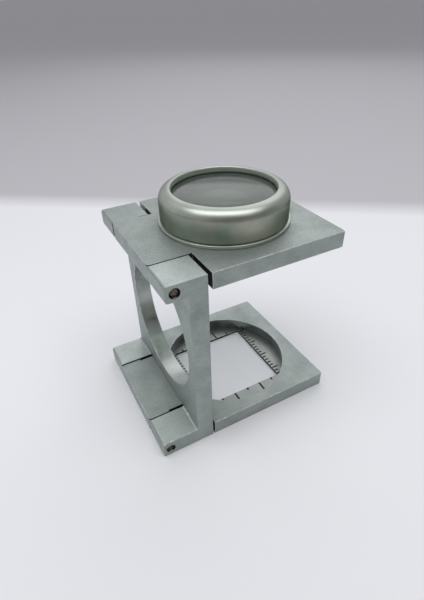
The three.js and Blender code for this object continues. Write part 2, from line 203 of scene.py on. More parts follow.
def flat_on_z(u, v, w):
    return u, v, w


def flat_on_y(u, v, w):
    return u, w, v


def flat_on_x(u, v, w):
    return w, u, v


def prism(name, points, low, high, place=flat_on_z):
    """A closed outline, extruded from low to high; place says which way it lies."""
    bm = bmesh.new()
    lower = [bm.verts.new(place(u, v, low)) for u, v in points]
    upper = [bm.verts.new(place(u, v, high)) for u, v in points]
    bm.faces.new(lower)
    bm.faces.new(upper)
    for index in range(len(points)):
        bm.faces.new((lower[index - 1], lower[index], upper[index], upper[index - 1]))
    bmesh.ops.recalc_face_normals(bm, faces=bm.faces)
    return add_object(name, bm)


def block(low, high):
    """A box to cut with, from its lowest to its highest corner."""
    points = [(low[0], low[1]), (high[0], low[1]), (high[0], high[1]), (low[0], high[1])]
    return prism("cutter", points, low[2], high[2])


def circle(radius, steps, centre=(0, 0)):
    """Points around a centre, the first one half a step past zero."""
    turns = [2 * math.pi * (step + 0.5) / steps for step in range(steps)]
    return [(centre[0] + radius * math.cos(a), centre[1] + radius * math.sin(a)) for a in turns]


def drill_z(radius, low, high):
    return prism("cutter", circle(radius, BORE_STEPS, (axis_x, 0)), low, high)


def drill_y(radius, low, high, pin):
    return prism("cutter", circle(radius, PIN_STEPS, (pin.x, pin.z)), low, high, flat_on_y)


def turned(name, profile, steps, centre, along="Z"):
    """A profile of (radius, height) points turned about an axis; it closes on itself."""
    bm = bmesh.new()
    rings = []
    for radius, height in profile:
        if radius == 0:
            rings.append([bm.verts.new((0, 0, height))] * steps)
            continue
        rings.append([bm.verts.new((x, y, height)) for x, y in circle(radius, steps)])
    for index in range(len(rings)):
        near, far = rings[index - 1], rings[index]
        for step in range(steps):
            corners = [near[step - 1], near[step], far[step], far[step - 1]]
            kept = [corner for slot, corner in enumerate(corners) if corner not in corners[:slot]]
            if len(kept) > 2:
                bm.faces.new(kept)
    if along == "Y":
        bmesh.ops.rotate(bm, verts=bm.verts, matrix=Matrix.Rotation(-math.pi / 2, 3, "X"))
    bmesh.ops.translate(bm, verts=bm.verts, vec=centre)
    bmesh.ops.recalc_face_normals(bm, faces=bm.faces)
    return add_object(name, bm)


def split(piece, *planes):
    """Divides the faces along planes, each (point, normal), so that no face has a hole in it."""
    bm = bmesh.new()
    bm.from_mesh(piece.data)
    for point, normal in planes:
        everything = bm.verts[:] + bm.edges[:] + bm.faces[:]
        bmesh.ops.bisect_plane(bm, geom=everything, plane_co=point, plane_no=normal)
    bm.to_mesh(piece.data)
    bm.free()


def dress(piece, materials):
    """Fills the piece's material slots."""
    for material in materials:
        piece.data.materials.append(material)


def bake_modifiers(piece):
    """Makes the modifiers' result the piece's own mesh."""
    graph = bpy.context.evaluated_depsgraph_get()
    mesh = bpy.data.meshes.new_from_object(piece.evaluated_get(graph))
    piece.modifiers.clear()
    old, piece.data = piece.data, mesh
    bpy.data.meshes.remove(old)


def cut(piece, cutters):
    """Takes the cutters out of the piece, one after another."""
    for cutter in cutters:
        boolean = piece.modifiers.new("cut", "BOOLEAN")
        boolean.object = cutter
        boolean.operation = "DIFFERENCE"
        boolean.solver = "EXACT"
        bake_modifiers(piece)
        bpy.data.objects.remove(cutter)
    bm = bmesh.new()
    bm.from_mesh(piece.data)
    bmesh.ops.remove_doubles(bm, verts=bm.verts, dist=MERGE_DISTANCE)
    bm.to_mesh(piece.data)
    bm.free()


def soften(piece, width, segments=3):
    """Rounds every sharp edge; the faces of the roundings get the material in slot EDGE."""
    bm = bmesh.new()
    bm.from_mesh(piece.data)
    weights = bm.edges.layers.float.new("bevel_weight_edge")
    for edge in bm.edges:
        if edge.calc_face_angle(0) > SHARP:
            edge[weights] = 1.0
    bm.to_mesh(piece.data)
    bm.free()
    bevel = piece.modifiers.new("soften", "BEVEL")
    bevel.width = width
    bevel.segments = segments
    bevel.limit_method = "WEIGHT"
    bevel.use_clamp_overlap = False
    bevel.material = EDGE
    for polygon in piece.data.polygons:
        polygon.use_smooth = True
    weighted = piece.modifiers.new("flat_faces", "WEIGHTED_NORMAL")
    weighted.weight = 100        # the large faces alone set the normals
    bake_modifiers(piece)


# ---------- painting single faces ----------

def in_hinge_gap(point, normal):
    """True on the walls that face each other across a hinge's side gap."""
    beside = TONGUE_HALF - GAP_REACH < abs(point.y) < TONGUE_HALF + SEAT_GAP
    return point.x < upright_inner + SEAM_REACH and beside and abs(normal.y) > FACING


def at_shoulder(x):
    """A test for the wall of a plate's shoulder, which stands at x."""
    def test(point, normal):
        near = abs(point.x - x) < SEAM_REACH and point.y < SHADED_WALL_EDGE
        return near and abs(normal.x) > FACING
    return test


def on_bore(radius, centre, axis):
    """A test for the wall of a round opening along an axis; centre is its place across that."""
    def test(point, normal):
        arm = getattr(point, ACROSS[axis]) - Vector(centre)
        facing = getattr(normal, ACROSS[axis]).length
        return abs(arm.length - radius) < BORE_REACH and facing > FACING
    return test


def at_mouth(pin):
    """A test for the inner part of a pin hole's rounded edge."""
    centre = Vector((pin.x, pin.z))
    return lambda point, normal: (point.xz - centre).length < PIN_MOUTH_RADIUS + SHADED_MOUTH


def on_tongue_edge(point, normal):
    """True on the tongue's rounded edge, on the side where the gap is open."""
    beside_gap = TONGUE_HALF - GAP_REACH < -point.y < TONGUE_HALF - REAR_GAP / 2
    beside_web = base_high.z + SEAM_REACH < point.z < top_low.z - SEAM_REACH
    return point.x < upright_inner and beside_gap and not beside_web


def on_satin_edge(point, normal):
    """True on the rounded edges beside a hinge's side gaps, above the base's lugs."""
    beside_gap = TONGUE_HALF - SLOT_GAP - SATIN_REACH < abs(point.y) < TONGUE_HALF + SATIN_REACH
    return point.x < upright_inner and point.z > SATIN_HEIGHT and beside_gap


def paint(piece, slot, *tests, edges=False):
    """Gives the faces that pass a test a slot's material; edges picks roundings or all the rest."""
    for polygon in piece.data.polygons:
        if (polygon.material_index == EDGE) != edges:
            continue
        if any(test(polygon.center, polygon.normal) for test in tests):
            polygon.material_index = slot


def calm_edges(piece):
    """Rounded edges along the hinge gaps get painted shade as dark as the open gap, or keep the satin
    finish.
    """
    # painted shade on the tongue's rounding beside the open gap
    paint(piece, PAINTED_SHADE, on_tongue_edge, edges=True)
    paint(piece, FACE, on_satin_edge, edges=True)


def complete(piece, body, node):
    """Scales a dressed piece to metres and puts it on its body, in place of its CAD node."""
    piece.data.transform(Matrix.Scale(METRES, 4))
    for polygon in piece.data.polygons:
        polygon.use_smooth = True
    piece.data.update()
    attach(piece, body)
    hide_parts(node)


# ---------- materials ----------

MIX_FACTOR, MIX_FIRST, MIX_SECOND = 0, 6, 7            # inputs of a Mix node for colours
MIX_RESULT = 2                                         # its output


def rgb(red, green, blue):
    return (red, green, blue, 1.0)


class Nodes:
    """A node tree, with short calls for the nodes that are added to it."""

    def __init__(self, tree):
        self.tree = tree

    def node(self, kind, inputs=None, **settings):
        """A new node; each of its inputs is a value or another node's output."""
        node = self.tree.nodes.new(kind)
        for setting, value in settings.items():
            setattr(node, setting, value)
        for socket, value in (inputs or {}).items():
            if isinstance(value, bpy.types.NodeSocket):
                self.tree.links.new(value, node.inputs[socket])
            else:
                node.inputs[socket].default_value = value
        return node

    def ramp(self, factor, low, high, to_low=0.0, to_high=1.0, **settings):
        """Maps low to to_low and high to to_high, and stays at those beyond them."""
        inputs = {
            "Value": factor, "From Min": low, "From Max": high, "To Min": to_low, "To Max": to_high,
        }
        return self.node("ShaderNodeMapRange", inputs, **settings).outputs["Result"]

    def blend(self, factor, first, second):
        inputs = {MIX_FACTOR: factor, MIX_FIRST: first, MIX_SECOND: second}
        return self.node("ShaderNodeMix", inputs, data_type="RGBA").outputs[MIX_RESULT]


class Shader(Nodes):
    """A material with a Principled node, fed by nodes in the coordinates of the object."""

    def __init__(self, name, settings):
        self.material = bpy.data.materials.new(name)
        self.material.use_nodes = True
        super().__init__(self.material.node_tree)
        self.surface = self.tree.nodes["Principled BSDF"]
        self.coordinates = self.node("ShaderNodeTexCoord").outputs["Object"]
        for socket, value in settings.items():
            self.surface.inputs[socket].default_value = value

    def feed(self, socket, value):
        self.tree.links.new(value, self.surface.inputs[socket])

    def mapped(self, **settings):
        """The coordinates after a Mapping node, with its Scale or Location."""
        return self.node("ShaderNodeMapping", {"Vector": self.coordinates, **settings}).outputs["Vector"]

    def noise(self, size_mm, detail=2.0, vector=None, roughness=0.5):
        """Noise whose features are about size_mm across, as a factor."""
        inputs = {
            "Vector": vector or self.coordinates,
            "Scale": 1 / (size_mm * METRES),
            "Detail": detail,
            "Roughness": roughness,
        }
        return self.node("ShaderNodeTexNoise", inputs).outputs["Fac"]

    def math(self, operation, *values):
        return self.node("ShaderNodeMath", dict(enumerate(values)), operation=operation).outputs["Value"]

    def mixed(self, first, second):
        """Sum of two (factor, share) pairs."""
        return self.math("ADD", self.math("MULTIPLY", *first), self.math("MULTIPLY", *second))

    def bump(self, height, depth_mm, below=None):
        """A normal for relief that is depth_mm deep, on top of the relief below."""
        inputs = {"Height": height, "Distance": depth_mm * METRES}
        if below is not None:
            inputs["Normal"] = below
        return self.node("ShaderNodeBump", inputs).outputs["Normal"]


DEEPEST_BLACK = rgb(0.006, 0.007, 0.007)
CLEAR_TINT = rgb(0.9, 0.93, 0.92)


def satin_metal(name, dark, light, rough):
    """Blasted and brushed plate: fine grain, short brush lines and smoother blotches from hands."""
    shader = Shader(name, {"Metallic": 1.0})
    grain = shader.noise(0.22, detail=2.0, roughness=0.7)
    brushed = shader.noise(0.4, detail=3.0, vector=shader.mapped(Scale=(0.3, 1.0, 0.6)))
    blotches = shader.noise(5.0, detail=5.0, roughness=0.6)
    fine = shader.mixed((grain, 0.75), (brushed, 0.25))
    tone = shader.mixed((fine, 0.7), (blotches, 0.3))
    shader.feed("Base Color", shader.blend(shader.ramp(tone, 0.38, 0.62), dark, light))
    shader.feed("Roughness", shader.ramp(blotches, 0.3, 0.7, *reversed(rough)))
    scratches = shader.noise(1.0, detail=3.0, vector=shader.mapped(Scale=(9.0, 0.35, 1.0)))
    rough_skin = shader.bump(fine, 0.05)
    shader.feed("Normal", shader.bump(shader.ramp(scratches, 0.62, 0.7), 0.005, below=rough_skin))
    return shader.material


def worn_and_lit_edge(name, dull, bright):
    """Edges rubbed bright in places, where the satin finish has gone; on the lower front lug's fillet the
    same bright colour is a painted highlight.
    """
    shader = Shader(name, {"Metallic": 1.0})
    brightened = shader.ramp(shader.noise(0.9, detail=5.0, roughness=0.65), 0.52, 0.64)
    shader.feed("Base Color", shader.blend(brightened, dull, bright))
    shader.feed("Roughness", shader.ramp(brightened, 0.0, 1.0, 0.40, 0.26))
    shader.feed("Normal", shader.bump(shader.noise(0.3, detail=3.0), 0.01))
    return shader.material


def turned_metal(name, dark, light, rough, rim_tint):
    """Lathe-turned metal with faint rings around the lens axis; rim_tint is for grazing light."""
    shader = Shader(name, {"Metallic": 1.0, "Specular Tint": rim_tint})
    from_axis = shader.mapped(Location=(-axis_x * METRES, 0, 0))
    parts = shader.node("ShaderNodeSeparateXYZ", {"Vector": from_axis})
    squares = [shader.math("MULTIPLY", parts.outputs[axis], parts.outputs[axis]) for axis in "XY"]
    radius = shader.math("SQRT", shader.math("ADD", *squares))
    rings = shader.node("ShaderNodeCombineXYZ", {"X": radius, "Z": parts.outputs["Z"]})
    lines = shader.noise(0.12, detail=2.0, vector=rings.outputs["Vector"])
    blotches = shader.noise(6.0, detail=3.0)
    shader.feed("Base Color", shader.blend(shader.ramp(blotches, 0.35, 0.65), dark, light))
    tone = shader.mixed((lines, 0.5), (blotches, 0.5))
    shader.feed("Roughness", shader.ramp(tone, 0.3, 0.7, *rough))
    grain = shader.bump(shader.noise(0.2, detail=2.0), 0.004)
    shader.feed("Normal", shader.bump(lines, 0.004, below=grain))
    return shader.material


def dull_metal(name, dark, light, size_mm, rough):
    """Plain metal with stains about size_mm across."""
    shader = Shader(name, {"Metallic": 1.0})
    stain = shader.noise(size_mm, detail=4.0)
    shader.feed("Base Color", shader.blend(shader.ramp(stain, 0.35, 0.65), dark, light))
    shader.feed("Roughness", shader.ramp(stain, 0.3, 0.7, rough, rough + 0.15))
    shader.feed("Normal", shader.bump(stain, 0.02))
    return shader.material


def matt_black(name, light, metallic, rough):
    """A black surface, speckled with the light colour."""
    shader = Shader(name, {"Metallic": metallic})
    speckle = shader.noise(0.15, detail=3.0)
    shader.feed("Base Color", shader.blend(speckle, DEEPEST_BLACK, light))
    shader.feed("Roughness", shader.ramp(speckle, 0.3, 0.7, rough, rough + 0.2))
    shader.feed("Normal", shader.bump(speckle, 0.01))
    return shader.material


def optical_glass(name, tint, haze, rough, index):
    """Glass under a film of dust and fingertip grease, which stops haze of the light on average."""
    paler_tint = rgb(*(1.06 * channel for channel in tint[:3]))
    clearest = 1 - 0.85 * haze
    haziest = 1 - 1.15 * haze
    shader = Shader(name, {"IOR": index})
    grease = shader.noise(4.0, detail=4.0)
    shader.feed("Base Color", shader.blend(grease, tint, paler_tint))
    shader.feed("Transmission Weight", shader.ramp(grease, 0.35, 0.65, haziest, clearest))
    shader.feed("Roughness", shader.ramp(grease, 0.35, 0.75, rough, rough + 0.06))
    path = shader.node("ShaderNodeLightPath")
    clear = shader.node("ShaderNodeBsdfTransparent", {"Color": CLEAR_TINT})
    lamps_shine_through = shader.node("ShaderNodeMixShader", {
        0: path.outputs["Is Shadow Ray"],
        1: shader.surface.outputs["BSDF"],
        2: clear.outputs["BSDF"],
    })
    output = shader.tree.nodes["Material Output"]
    shader.tree.links.new(lamps_shine_through.outputs["Shader"], output.inputs["Surface"])
    return shader.material


PLATE_DARK = rgb(0.31, 0.348, 0.332)
PLATE_LIGHT = rgb(0.42, 0.463, 0.447)
WORN_AND_LIT_BRIGHT = rgb(0.80, 0.82, 0.80)
# lug tops, lightened with painted light
LIT_TOP_DARK = rgb(0.42, 0.465, 0.445)
LIT_TOP_LIGHT = rgb(0.55, 0.60, 0.58)
SCALE_DARK = rgb(0.285, 0.31, 0.29)
SCALE_LIGHT = rgb(0.355, 0.38, 0.36)
plate_finish = [
    satin_metal("satin_plate", PLATE_DARK, PLATE_LIGHT, rough=(0.50, 0.64)),
    worn_and_lit_edge("satin_plate_edge", PLATE_LIGHT, WORN_AND_LIT_BRIGHT),
    # near black: painted shade for the hinge gaps, pin holes, shoulder walls and the scale's window wall
    dull_metal("hinge_gap_painted_shade", rgb(0.035, 0.04, 0.037), rgb(0.075, 0.083, 0.078), size_mm=0.6, rough=0.6),
    # the base's turned bore: glossier, and darkened with painted shade
    dull_metal("bore_wall_shaded", rgb(0.20, 0.225, 0.215), rgb(0.28, 0.305, 0.29), size_mm=2.5, rough=0.24),
    # the upright's turned window: glossier, and lightened with painted light
    dull_metal("bore_wall_lit", rgb(0.42, 0.455, 0.435), rgb(0.52, 0.56, 0.54), size_mm=2.5, rough=0.26),
    # the plate finish lightened with painted light, for the lug tops
    satin_metal("lug_top_lit", LIT_TOP_DARK, LIT_TOP_LIGHT, rough=(0.46, 0.58)),
]
scale_finish = [
    satin_metal("scale_face", SCALE_DARK, SCALE_LIGHT, rough=(0.36, 0.48)),
    *plate_finish[1:],
]

TURNED_DARK = rgb(0.385, 0.415, 0.372)
TURNED_LIGHT = rgb(0.475, 0.508, 0.458)
TURNED_RIM = rgb(0.85, 0.87, 0.83)
# the lip's wall: turned metal lightened with painted light
LIT_LIP_DARK = rgb(0.74, 0.78, 0.73)
LIT_LIP_LIGHT = rgb(0.86, 0.90, 0.84)
LIT_LIP_RIM = rgb(1, 1, 1)
# the cap's outer wall: turned metal darkened with painted shade
SHADED_WALL_DARK = rgb(0.255, 0.31, 0.255)
SHADED_WALL_LIGHT = rgb(0.42, 0.425, 0.355)
SHADED_WALL_RIM = rgb(0.30, 0.34, 0.28)
turned_finish = [
    turned_metal("turned_cell", TURNED_DARK, TURNED_LIGHT, rough=(0.32, 0.42), rim_tint=TURNED_RIM),
    turned_metal("lip_wall_lit", LIT_LIP_DARK, LIT_LIP_LIGHT, rough=(0.45, 0.55), rim_tint=LIT_LIP_RIM),
    turned_metal("cap_wall_shaded", SHADED_WALL_DARK, SHADED_WALL_LIGHT, rough=(0.34, 0.44), rim_tint=SHADED_WALL_RIM),
]

PIN_DARK = rgb(0.035, 0.028, 0.02)
PIN_LIGHT = rgb(0.2, 0.165, 0.13)
SPRING_DARK = rgb(0.30, 0.30, 0.29)
SPRING_LIGHT = rgb(0.50, 0.50, 0.48)
pin_finish = [dull_metal("pin_end", PIN_DARK, PIN_LIGHT, size_mm=0.5, rough=0.35)]
spring_finish = [dull_metal("spring", SPRING_DARK, SPRING_LIGHT, size_mm=0.8, rough=0.25)]
black_finish = [matt_black("blackened", rgb(0.03, 0.032, 0.032), metallic=0.6, rough=0.45)]
rubber_finish = [matt_black("rubber", rgb(0.02, 0.02, 0.02), metallic=0.0, rough=0.6)]
mark_finish = [matt_black("printed_mark", rgb(0.015, 0.015, 0.015), metallic=0.0, rough=0.6)]

CROWN_INDEX = 1.52
COATED_INDEX = 1.33          # the coating dims the reflection, as a lower index does
# darker than clear glass: painted shade for the dim cell seen through the eye lens
SHADED_LENS_TINT = rgb(0.22, 0.255, 0.225)
eye_glass = [optical_glass("eye_lens_glass", SHADED_LENS_TINT, haze=0.15, rough=0.08, index=COATED_INDEX)]
field_glass = [optical_glass("field_lens_glass", CLEAR_TINT, haze=0.05, rough=0.05, index=CROWN_INDEX)]


# ---------- plates ----------

def tongue_side(gap, slot_gap, tongue_end, shoulder, free_end, slot_length):
    """Half an outline, from the free end to the tongue's end, for positive y."""
    slot_start = shoulder - slot_length
    return [
        (free_end, half_width, PLATE_CORNER),
        (shoulder, half_width),
        (shoulder, TONGUE_HALF - slot_gap),
        (slot_start, TONGUE_HALF - slot_gap),
        (slot_start, TONGUE_HALF - gap),
        (tongue_end, TONGUE_HALF - gap, HINGE_ROUND),
    ]


def tongued_outline(front_gap, front_slot_gap, rear_slot_gap, *places):
    """Outline of a plate with a hinge tongue, narrower beside the upright."""
    rear = tongue_side(REAR_GAP, rear_slot_gap, *places)
    front = reversed(tongue_side(front_gap, front_slot_gap, *places))
    return rounded(rear + [(u, -v, *radius) for u, v, *radius in front])


def tongue_bores(pin):
    """Blind pin holes and washer seats in both sides of a tongue."""
    cutters = []
    for side in (-1, 1):
        hole = sorted((side * (TONGUE_HALF - PIN_HOLE_DEPTH), side * half_width))
        seat = sorted((side * (TONGUE_HALF - SEAT_GAP - WASHER_SEAT_DEPTH), side * half_width))
        cutters.append(drill_y(PIN_HOLE_RADIUS, *hole, pin))
        cutters.append(drill_y(WASHER_SEAT_RADIUS, *seat, pin))
    return cutters


def make_base():
    outline = tongued_outline(BASE_FRONT_GAP, BASE_FRONT_SLOT_GAP, SLOT_GAP, base_low.x,
                              upright_inner + BASE_NOTCH, base_high.x, BASE_SLOT)
    plate = prism("machined_base", outline, base_low.z, base_high.z)
    dress(plate, plate_finish)
    split(plate, MIDPLANE, (base_pin, Z_AXIS))
    cut(plate, [
        drill_z(WINDOW_RADIUS, BORE_START, base_high.z + MARGIN),
        drill_z(SCALE_SEAT_RADIUS, base_low.z - MARGIN, SCALE_RECESS),
        *tongue_bores(base_pin),
    ])
    soften(plate, EDGE_ROUND)
    # painted shade on the walls across the hinge gaps and on the shoulder wall
    paint(plate, PAINTED_SHADE, in_hinge_gap, at_shoulder(upright_inner + BASE_NOTCH))
    calm_edges(plate)
    # the bore's wall: turned finish with painted shade
    paint(plate, SHADED_BORE, on_bore(WINDOW_RADIUS, (axis_x, 0), "Z"))
    complete(plate, "base", "base_plate")


def make_lens_plate():
    outline = tongued_outline(TOP_FRONT_GAP, TOP_SLOT_GAP, TOP_SLOT_GAP, top_low.x,
                              upright_inner + TOP_NOTCH, top_high.x, TOP_SLOT)
    plate = prism("machined_lens_plate", outline, top_low.z, top_high.z)
    dress(plate, plate_finish)
    # the split parts the shoulder wall where its painted shade ends
    shaded_wall_plane = (Vector((0, SHADED_WALL_EDGE, 0)), Y_AXIS)
    split(plate, MIDPLANE, (lens_pin, Z_AXIS), shaded_wall_plane)
    cut(plate, [
        drill_z(BARREL_SEAT_RADIUS, top_low.z - MARGIN, top_high.z + MARGIN),
        drill_z(RING_SEAT_RADIUS, top_low.z - MARGIN, top_low.z + RING_SEAT_DEPTH),
        *tongue_bores(lens_pin),
    ])
    soften(plate, EDGE_ROUND)
    # painted shade on the walls across the hinge gaps and on the front part of the shoulder wall
    paint(plate, PAINTED_SHADE, in_hinge_gap, at_shoulder(upright_inner + TOP_NOTCH))
    calm_edges(plate)
    complete(plate, "lens_holder", "lens_plate")


def make_upright():
    """A full-width "]" block, cleared between its lugs, with its round window and pin holes."""
    profile = rounded([
        (upright_low.x, upright_low.z, HINGE_ROUND),
        (upright_inner, upright_low.z, FOOT_ROUND),
        (upright_inner, upright_high.z),
        (lug_end_top, upright_high.z, HINGE_ROUND),
        (lug_end_top, top_low.z, HINGE_ROUND),
        (upright_outer, top_low.z, LUG_FILLET),
        (upright_outer, BASE_LUG_HEIGHT, LUG_FILLET),
        (upright_low.x, BASE_LUG_HEIGHT, HINGE_ROUND),
    ])
    piece = prism("machined_upright", profile, -half_width, half_width, flat_on_y)
    dress(piece, plate_finish)
    split(piece, MIDPLANE, (base_pin, Z_AXIS), (lens_pin, Z_AXIS))
    far = upright_inner + MARGIN
    web_low = base_high.z + WEB_GAP
    web_high = top_low.z - WEB_GAP
    beside_lug = BASE_LUG_HEIGHT + 2 * LUG_FILLET
    under_lug = top_low.z - 2 * LUG_FILLET
    hinge_side = upright_low.x - MARGIN
    gaps = [
        ((hinge_side, upright_low.z - MARGIN), (far, web_low)),
        ((hinge_side, web_low - MARGIN), (upright_outer, beside_lug)),
        ((hinge_side, web_high), (far, upright_high.z + MARGIN)),
        ((hinge_side, under_lug), (upright_outer, web_high + MARGIN)),
    ]
    cutters = [
        block((x0, -TONGUE_HALF, z0), (x1, TONGUE_HALF, z1)) for (x0, z0), (x1, z1) in gaps
    ]
    window = prism("cutter", circle(WINDOW_RADIUS, BORE_STEPS, (0, window_height)),
                   upright_outer - MARGIN, far, flat_on_x)
    cutters.append(window)
    for pin in (base_pin, lens_pin):
        cutters.append(drill_y(PIN_HOLE_RADIUS, -half_width - MARGIN, half_width + MARGIN, pin))
        for side in (-1, 1):
            mouth = sorted((side * (half_width - PIN_MOUTH_DEPTH), side * (half_width + MARGIN)))
            cutters.append(drill_y(PIN_MOUTH_RADIUS, *mouth, pin))
    cut(piece, cutters)
    soften(piece, EDGE_ROUND)

    def on_satin_rim(point, normal):
        """All roundings above the base's lugs, but for the rear part of the window's rim."""
        from_rim = abs(math.hypot(point.y, point.z - window_height) - WINDOW_RADIUS)
        unworn = point.y < RIM_WORN_FROM or from_rim >= 2 * EDGE_ROUND
        return point.z > BASE_LUG_HEIGHT + LUG_FILLET and unworn

    def along_web_foot(point, normal):
        """The rounding at the web's outer lower edge, above the base's tongue."""
        low = point.z < web_low + EDGE_ROUND and point.x > upright_outer - EDGE_ROUND
        return low and abs(point.y) < TONGUE_HALF

    def on_lug_top(point, normal):
        """The lug tops that get a painted highlight: both front lugs' and the lower rear lug's."""
        brightened = point.y < 0 or point.z < window_height
        on_lug = point.x < upright_outer and abs(point.y) > TONGUE_HALF
        return normal.z > FACING and on_lug and brightened

    def in_near_fillet(point, normal):
        """The fillet between the lower front lug and the web."""
        low = BASE_LUG_HEIGHT < point.z < BASE_LUG_HEIGHT + LUG_FILLET
        return low and normal.z > TILTED and normal.x < -TILTED and point.y < -TONGUE_HALF

    # painted shade on the walls across the hinge gaps
    paint(piece, PAINTED_SHADE, in_hinge_gap)
    # painted shade in the pin holes, their mouths and the inner part of their roundings
    for pin in (base_pin, lens_pin):
        for radius in (PIN_HOLE_RADIUS, PIN_MOUTH_RADIUS):
            paint(piece, PAINTED_SHADE, on_bore(radius, (pin.x, pin.z), "Y"))
        paint(piece, PAINTED_SHADE, at_mouth(pin), edges=True)
    calm_edges(piece)
    paint(piece, FACE, on_satin_rim, edges=True)
    # painted shade: a dark line along the web's lower outer rounding
    paint(piece, PAINTED_SHADE, along_web_foot, edges=True)
    # painted light: the window's wall, lighter and glossier
    paint(piece, LIT_BORE, on_bore(WINDOW_RADIUS, (0, window_height), "X"))
    # painted highlight on the lug tops
    paint(piece, LIT_TOP, on_lug_top)
    # painted highlight on the lower front lug's fillet, in the bright edge material
    paint(piece, EDGE, in_near_fillet)
    complete(piece, "upright", "upright_frame")


# ---------- counting scale ----------

TOOTH_PITCH = 1.0            # millimetre graduation on the two sides
TOOTH_COUNT = 18
TOOTH_GROUP = 5              # one tooth in so many is long
TOOTH_MARGIN = 0.7           # first tooth to the window's corner
TOOTH_STROKE = 0.38
TOOTH_LONG = 1.55
TOOTH_SHORT = 0.9
EIGHTH_INCH = 3.175          # graduation along the front and the back
EIGHTH_COUNT = 5             # steps along the window; every second mark is long
EIGHTH_STROKE = 0.42
EIGHTH_LONG = 2.2
EIGHTH_SHORT = 0.65
MARK_HEIGHT = 0.02
MARK_OFFSET = 0.03           # window's edge to the marks


def make_scale_plate():
    """A thin disc with a square window, whose wall gets the same painted shade as the hinge gaps."""
    outline = circle(scale_high.y, BORE_STEPS, (axis_x, 0))
    plate = prism("scale_disc", outline, scale_low.z, scale_high.z)
    dress(plate, scale_finish)
    split(plate, MIDPLANE)
    window = block(
        (axis_x - WINDOW_HALF, -WINDOW_HALF, scale_low.z - MARGIN),
        (axis_x + WINDOW_HALF, WINDOW_HALF, scale_high.z + MARGIN),
    )
    cut(plate, [window])
    soften(plate, SCALE_EDGE_ROUND, segments=2)

    def on_window_wall(point, normal):
        return abs(normal.z) < TILTED and point.xy.length < WINDOW_RADIUS

    # painted shade on the window's wall
    paint(plate, PAINTED_SHADE, on_window_wall)
    complete(plate, "base", "scale_plate")


def make_marks():
    """Raised black graduations; none runs out past the round opening above the scale."""
    bm = bmesh.new()
    edge = WINDOW_HALF + MARK_OFFSET
    reach = WINDOW_RADIUS - 2 * MARK_OFFSET

    def mark(along, length, stroke, side, outwards_on_x):
        """A stroke outwards from the window's edge; along is its place on that edge."""
        room = math.sqrt(reach ** 2 - (abs(along) + stroke / 2) ** 2) - edge
        length = min(length, room)
        if length <= stroke / 2:
            return
        outwards = side * (edge + length / 2)
        centre = (outwards, along) if outwards_on_x else (along, outwards)
        size = (length, stroke) if outwards_on_x else (stroke, length)
        place = Matrix.Translation((axis_x + centre[0], centre[1], scale_high.z + MARK_HEIGHT / 2))
        bmesh.ops.create_cube(bm, size=1, matrix=place @ Matrix.Diagonal((*size, MARK_HEIGHT, 1)))

    for tooth in range(TOOTH_COUNT):
        along = WINDOW_HALF - TOOTH_MARGIN - tooth * TOOTH_PITCH
        length = TOOTH_LONG if tooth % TOOTH_GROUP == 0 else TOOTH_SHORT
        for side in (-1, 1):
            mark(along, length, TOOTH_STROKE, side, outwards_on_x=True)
    for step in range(EIGHTH_COUNT + 1):
        length = EIGHTH_SHORT if step % 2 else EIGHTH_LONG
        for side in (-1, 1):
            along = side * (WINDOW_HALF - step * EIGHTH_INCH)
            mark(along, length, EIGHTH_STROKE, side, outwards_on_x=False)
    bmesh.ops.recalc_face_normals(bm, faces=bm.faces)
    marks = add_object("scale_marks", bm)
    marks.data.transform(Matrix.Scale(METRES, 4))
    dress(marks, mark_finish)
    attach(marks, "base")


# ---------- lens cell ----------

LENS_SEAT_RADIUS = 9.4       # inner edge of the ledge under the lenses
SPACER_BORE = 9.6
BEZEL_SEAL_BORE = 9.65


def arc(centre, radius, start, end, steps):
    """Points (radius, height) on an arc, from one angle to another in degrees."""
    points = []
    for step in range(steps + 1):
        angle = math.radians(start + (end - start) * step / steps)
        points.append((centre[0] + radius * math.cos(angle), centre[1] + radius * math.sin(angle)))
    return points


def make_bezel():
    """Cap with a rolled outer shoulder and a short lip over the glass."""
    outer = bezel_high.y
    bottom = bezel_low.z
    top = bezel_high.z
    bore = 11.1
    shoulder = 2.05
    opening = 9.55
    web = 0.95                   # thickness of the cap's top
    lip_round = 0.2
    foot = 0.12
    crimp = 0.09                 # thickness of the lip below that top
    lip_end = top - 1.02         # a dark line is left between here and the glass
    chamfer = 0.03
    chamfer_height = 0.02
    profile = [(bore, bottom)]
    profile += arc((outer - foot, bottom + foot), foot, -90, 0, 4)
    profile += arc((outer - shoulder, top - shoulder), shoulder, 0, 90, 24)
    profile += arc((opening + lip_round, top - lip_round), lip_round, 90, 180, 6)
    profile += [(opening, lip_end + chamfer_height), (opening + chamfer, lip_end)]
    profile += [(opening + crimp, lip_end), (opening + crimp, top - web), (bore, top - web)]
    cap = turned("rolled_bezel", profile, BORE_STEPS, (axis_x, 0, 0))
    dress(cap, turned_finish)
    # painted light on the lip's wall
    paint(cap, LIT_LIP, on_bore(opening, (axis_x, 0), "Z"))
    # painted shade on the cap's outer wall
    paint(cap, SHADED_CAP_WALL, on_bore(outer, (axis_x, 0), "Z"))
    complete(cap, "lens_holder", "lens_bezel")


